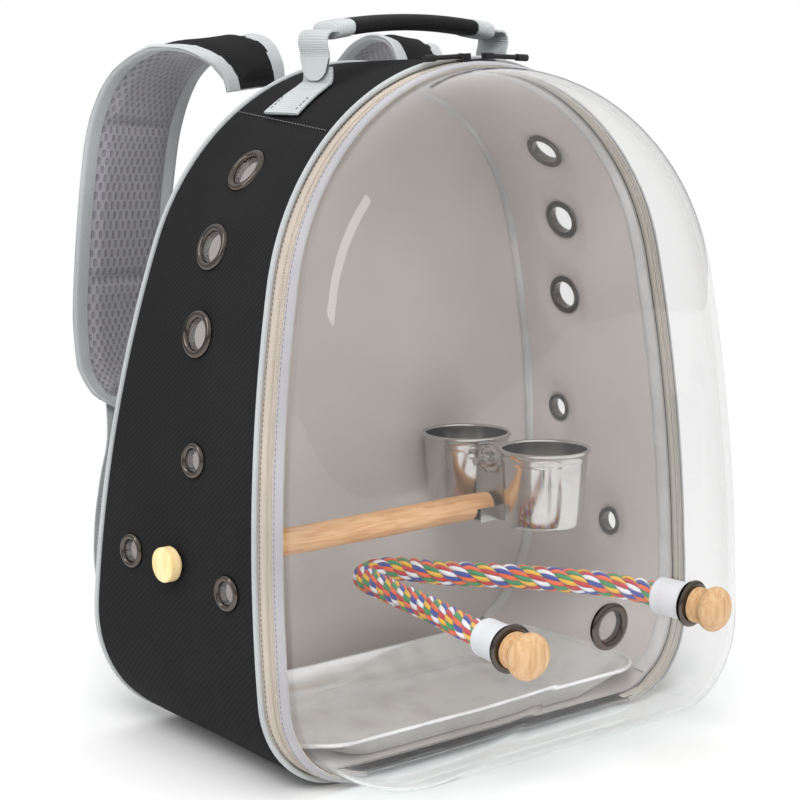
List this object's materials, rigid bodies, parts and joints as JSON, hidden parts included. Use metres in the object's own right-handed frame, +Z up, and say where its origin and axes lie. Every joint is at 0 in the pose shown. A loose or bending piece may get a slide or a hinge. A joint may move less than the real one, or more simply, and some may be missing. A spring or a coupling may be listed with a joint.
{
  "type": "bird travel carrier",
  "caption": "Backpack carrier for a small parrot: arched cloth bag with eyelet vents and a clear zip-on dome, holding a wooden perch, a rope perch, steel cups and a tray.",
  "frame": {"origin": "centre of the base's underside, on the floor, midway between the front opening's edge and the back panel", "axes": "+Z up, -Y toward the clear dome, +X toward the feeding cups' side"},
  "size_m": [0.351, 0.3667, 0.4184],
  "materials": {
    "black_cloth": "coarse woven polyester, matte",
    "board": "stiffening board, hidden",
    "lining_cloth": "satin lining, warm grey",
    "grey_piping": "woven piping, light grey",
    "velvet_tape": "velvet seam tape, grey",
    "zip_tape": "woven zip tape, cream",
    "zip_coil": "nylon coil, cream",
    "grey_tape": "folded binding tape, lavender grey",
    "bronze_metal": "polished gunmetal",
    "vent_mesh": "fine mesh",
    "grey_webbing": "ribbed webbing, light grey",
    "black_padding": "woven sleeve over foam, black",
    "strap_padding": "air mesh inside, black cloth outside, grey binding",
    "black_plastic": "moulded acetal",
    "beech": "plain sanded beech",
    "pale_wood": "turned, sanded",
    "steel": "polished stainless steel",
    "clear_plastic": "clear moulded sheet",
    "cotton_rope": "twisted cotton strands in six colours",
    "white_plastic": "moulded, satin",
    "black_metal": "black painted",
    "black_cord": "coated cord"
  },
  "bodies": {
    "bag": {"back_panel": "black_cloth", "top_panel": "black_cloth", "side_panel_left": "black_cloth", "side_panel_right": "black_cloth", "base_panel": "black_cloth", "back_board": "board", "base_board": "board", "lining_back": "lining_cloth", "lining_sides": "lining_cloth", "piping_front": "grey_piping", "piping_back": "grey_piping", "seam_binding_front": "velvet_tape", "seam_binding_rear": "velvet_tape", "zip_tape_bag": "zip_tape", "zip_coil_bag": "zip_coil", "hinge_tape_bag": "grey_tape", "side_eyelets": "bronze_metal", "side_eyelet_washers": "bronze_metal", "side_vent_mesh": "vent_mesh", "handle_anchors": "grey_webbing", "strap_webbing_left": "grey_webbing", "strap_webbing_right": "grey_webbing", "strap_pad_left": "strap_padding", "strap_pad_right": "strap_padding", "strap_buckle_left": "black_plastic", "strap_buckle_right": "black_plastic", "perch_dowel": "beech", "perch_screw": "steel", "tongue_screw": "steel", "cup_bracket": "steel", "cup_front": "steel", "cup_rear": "steel", "cup_rivets": "steel", "bracket_bolt": "steel", "spring_washer": "steel"},
    "door": {"dome_shell": "clear_plastic", "dome_binding": "grey_tape", "zip_tape_door": "zip_tape", "zip_coil_door": "zip_coil", "hinge_tape_door": "grey_tape", "dome_eyelets": "bronze_metal", "dome_eyelet_washers": "bronze_metal", "dome_vent_mesh": "vent_mesh", "rope_perch": "cotton_rope", "rope_caps": "white_plastic", "rope_screws": "steel"},
    "handle": {"handle_webbing": "grey_webbing", "handle_grip": "black_padding", "handle_end_wraps": "grey_webbing"},
    "rope_knob_left": {"rope_knob_left": "pale_wood"},
    "rope_knob_right": {"rope_knob_right": "pale_wood"},
    "perch_knob": {"perch_knob": "pale_wood"},
    "wing_nut": {"wing_nut": "steel"},
    "tray": {"tray": "steel"},
    "slider_left": {"zip_slider_left": "black_metal"},
    "slider_right": {"zip_slider_right": "black_metal"},
    "pull_left": {"zip_pull_left": "black_cord"},
    "pull_right": {"zip_pull_right": "black_cord"}
  },
  "joints": [
    {"name": "door_hinge", "type": "hinge", "parent": "bag", "child": "door", "pos_m": [0, -0.0858, 0.0044], "axis": [1, 0, 0], "range_deg": [0, 95]},
    {"name": "zip_left", "type": "hinge", "parent": "bag", "child": "slider_left", "pos_m": [0, -0.07264, 0.24744], "axis": [0, -0.9985, 0.0539], "range_deg": [0, 72]},
    {"name": "zip_right", "type": "hinge", "parent": "bag", "child": "slider_right", "pos_m": [0, -0.07264, 0.24744], "axis": [0, 0.9985, -0.0539], "range_deg": [0, 72]},
    {"name": "pull_left_flop", "type": "hinge", "parent": "slider_left", "child": "pull_left", "pos_m": [-0.00671, -0.06467, 0.39496], "axis": [0, 0.9985, -0.0539], "range_deg": [0, 100]},
    {"name": "pull_right_flop", "type": "hinge", "parent": "slider_right", "child": "pull_right", "pos_m": [0.00671, -0.06467, 0.39496], "axis": [0, -0.9985, 0.0539], "range_deg": [0, 100]},
    {"name": "handle_flop", "type": "hinge", "parent": "bag", "child": "handle", "pos_m": [0, -0.004, 0.39359], "axis": [1, 0, 0], "range_deg": [-35, 35], "stiffness_Nm_per_rad": 0.06},
    {"name": "rope_knob_left_turn", "type": "hinge", "parent": "door", "child": "rope_knob_left", "pos_m": [-0.07, -0.17203, 0.089], "axis": [-0.1208, -0.9921, -0.0339], "continuous": true},
    {"name": "rope_knob_right_turn", "type": "hinge", "parent": "door", "child": "rope_knob_right", "pos_m": [0.07, -0.17203, 0.089], "axis": [0.1208, -0.9921, -0.0339], "continuous": true},
    {"name": "perch_knob_turn", "type": "hinge", "parent": "bag", "child": "perch_knob", "pos_m": [-0.175, -0.005, 0.119], "axis": [-1, 0, 0], "continuous": true},
    {"name": "wing_nut_turn", "type": "hinge", "parent": "bag", "child": "wing_nut", "pos_m": [0.066, -0.005, 0.147], "axis": [-1, 0, 0], "continuous": true},
    {"name": "tray_lift", "type": "slide", "parent": "bag", "child": "tray", "axis": [0, 0, 1], "range_m": [0, 0.025]}
  ]
}
